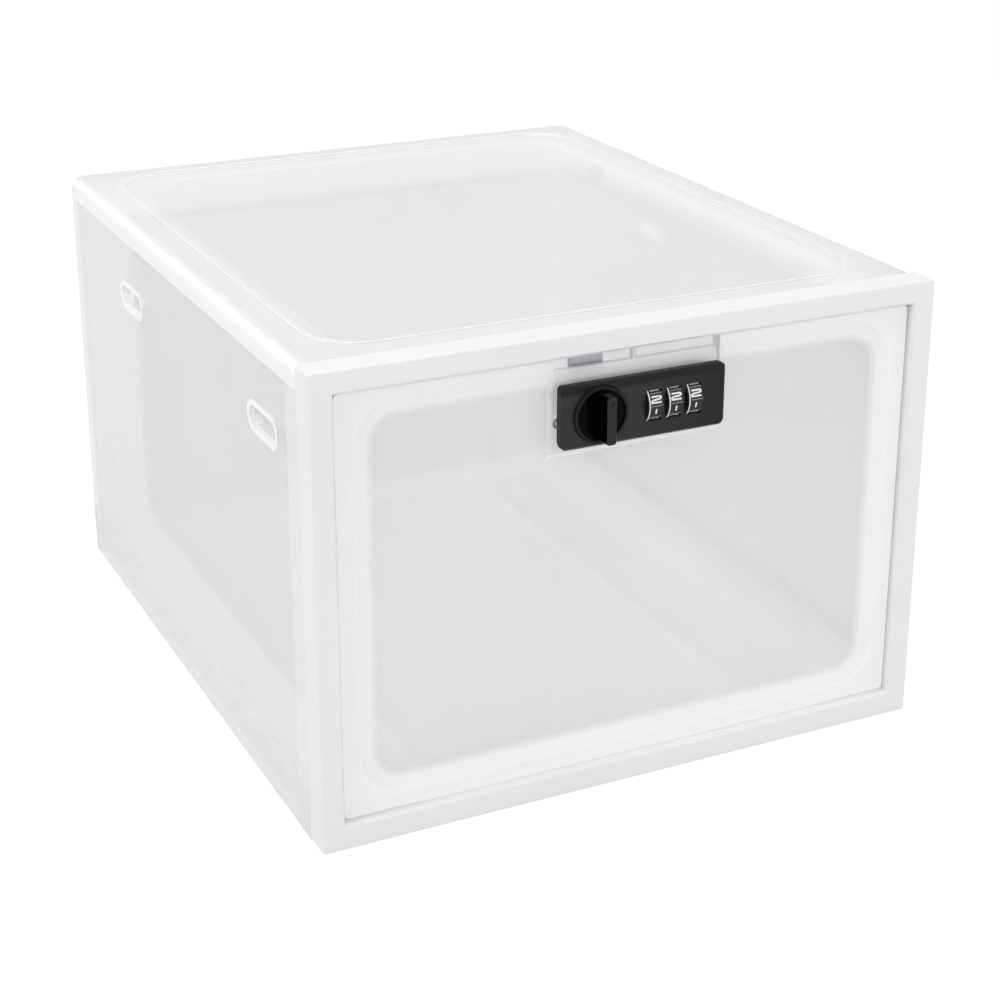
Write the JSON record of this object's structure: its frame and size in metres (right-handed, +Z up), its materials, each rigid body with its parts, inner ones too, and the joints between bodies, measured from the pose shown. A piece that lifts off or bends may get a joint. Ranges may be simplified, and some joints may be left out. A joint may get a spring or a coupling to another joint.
{
  "type": "medication lock box",
  "caption": "Clear plastic box with a pull-out drawer in a white front frame, locked by a combination cam lock with a turn knob.",
  "frame": {"origin": "centre of the case's footprint, on the surface it stands on", "axes": "the front and the lock face -Y, +Z is up, +X is the right-hand side seen from the front"},
  "size_m": [0.28, 0.351, 0.2028],
  "materials": {
    "clear_plastic": "clear moulded plastic, slightly hazy",
    "drawer_plastic": "clear moulded plastic, slightly hazy",
    "white_plastic": "satin moulded white plastic",
    "black_plastic": "fine satin black",
    "wheel_plastic": "black with white digits",
    "button_plastic": "plain moulded",
    "sleeve_plastic": null,
    "zinc_plate": "bright zinc plate",
    "steel": "plain",
    "spring_steel": "drawn wire and strip"
  },
  "bodies": {
    "case": {"case_shell": "clear_plastic", "front_bezel": "white_plastic"},
    "drawer": {"drawer": "drawer_plastic", "lock_housing": "black_plastic", "lock_rear_cover": "black_plastic", "cover_screws": "steel", "mounting_screws": "steel", "wheel_axle": "steel", "detent_spring": "spring_steel", "bar_spring": "spring_steel", "reset_spring": "spring_steel"},
    "knob": {"knob": "black_plastic", "spindle": "zinc_plate", "lock_cam": "zinc_plate", "cam_washer": "zinc_plate", "cam_screw": "steel"},
    "wheel_1": {"number_wheel_1": "wheel_plastic", "code_sleeve_1": "sleeve_plastic"},
    "wheel_2": {"number_wheel_2": "wheel_plastic", "code_sleeve_2": "sleeve_plastic"},
    "wheel_3": {"number_wheel_3": "wheel_plastic", "code_sleeve_3": "sleeve_plastic"},
    "locking_bar": {"locking_bar": "zinc_plate"},
    "reset_button": {"reset_button": "button_plastic"}
  },
  "joints": [
    {"name": "drawer_slide", "type": "slide", "parent": "case", "child": "drawer", "axis": [0, -1, 0], "range_m": [0, 0.255]},
    {"name": "knob_turn", "type": "hinge", "parent": "drawer", "child": "knob", "pos_m": [-0.02, -0.172, 0.1685], "axis": [0, -1, 0], "range_deg": [0, 90]},
    {"name": "wheel_1_turn", "type": "hinge", "parent": "drawer", "child": "wheel_1", "pos_m": [0.0039, -0.1658, 0.1685], "axis": [1, 0, 0], "continuous": true},
    {"name": "wheel_2_turn", "type": "hinge", "parent": "drawer", "child": "wheel_2", "pos_m": [0.013, -0.1658, 0.1685], "axis": [1, 0, 0], "continuous": true},
    {"name": "wheel_3_turn", "type": "hinge", "parent": "drawer", "child": "wheel_3", "pos_m": [0.0221, -0.1658, 0.1685], "axis": [1, 0, 0], "continuous": true},
    {"name": "locking_bar_slide", "type": "slide", "parent": "drawer", "child": "locking_bar", "axis": [1, 0, 0], "range_m": [0, 0.00131], "deforming": ["bar_spring"]},
    {"name": "reset_push", "type": "slide", "parent": "drawer", "child": "reset_button", "axis": [0, -1, 0], "range_m": [0, 0.0012], "stiffness_N_per_m": 150, "springref_m": -0.002, "deforming": ["reset_spring"]}
  ],
  "couplings": [
    {"joint": "locking_bar_slide", "follows": "knob_turn", "m_per_rad": 0.00082761}
  ]
}
